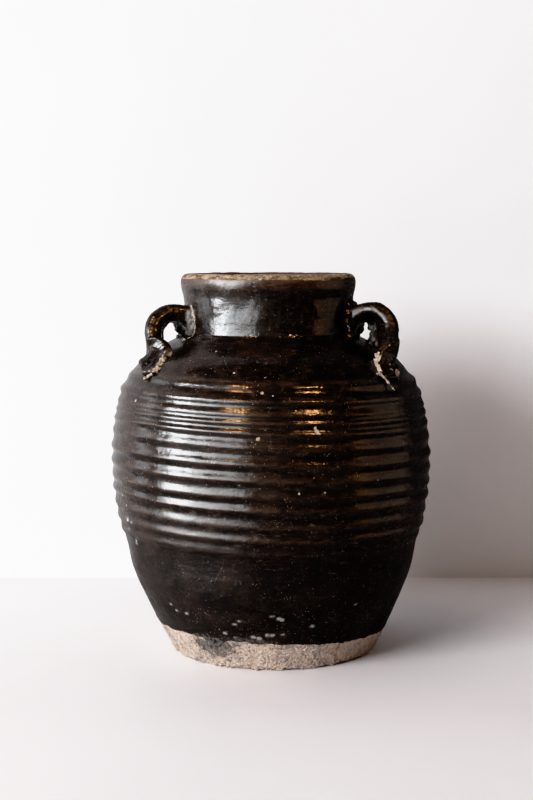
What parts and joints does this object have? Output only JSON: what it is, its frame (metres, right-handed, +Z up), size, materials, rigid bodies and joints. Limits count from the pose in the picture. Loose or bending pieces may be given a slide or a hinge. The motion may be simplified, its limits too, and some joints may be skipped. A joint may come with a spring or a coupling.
{
  "type": "lugged stoneware storage jar",
  "caption": "Wheel-thrown dark-glazed jar with a bare clay foot, ribbed belly, short neck with a rolled lip, and pulled strap lugs on the shoulder.",
  "frame": {"origin": "centre of the flat foot, on the surface the jar stands on", "axes": "+Z up along the throwing axis, +X to the right lug's side, -Y to the front between the left and right lugs"},
  "size_m": [0.255, 0.255, 0.3],
  "materials": {
    "dark_glaze": "glossy, uneven, near-black brown iron glaze over stoneware",
    "bare_clay": "matte, sandy, unglazed stoneware with grey firing patches",
    "worn_lip": "glaze worn thin over a tan clay edge"
  },
  "bodies": {
    "root": {"floor_disc": "bare_clay", "foot_wall": "bare_clay", "lower_wall": "dark_glaze", "ribbed_belly": "dark_glaze", "shoulder": "dark_glaze", "neck_collar": "dark_glaze", "rim_lip": "worn_lip", "lug_left": "dark_glaze", "lug_right": "dark_glaze", "lug_back": "dark_glaze"}
  },
  "joints": []
}
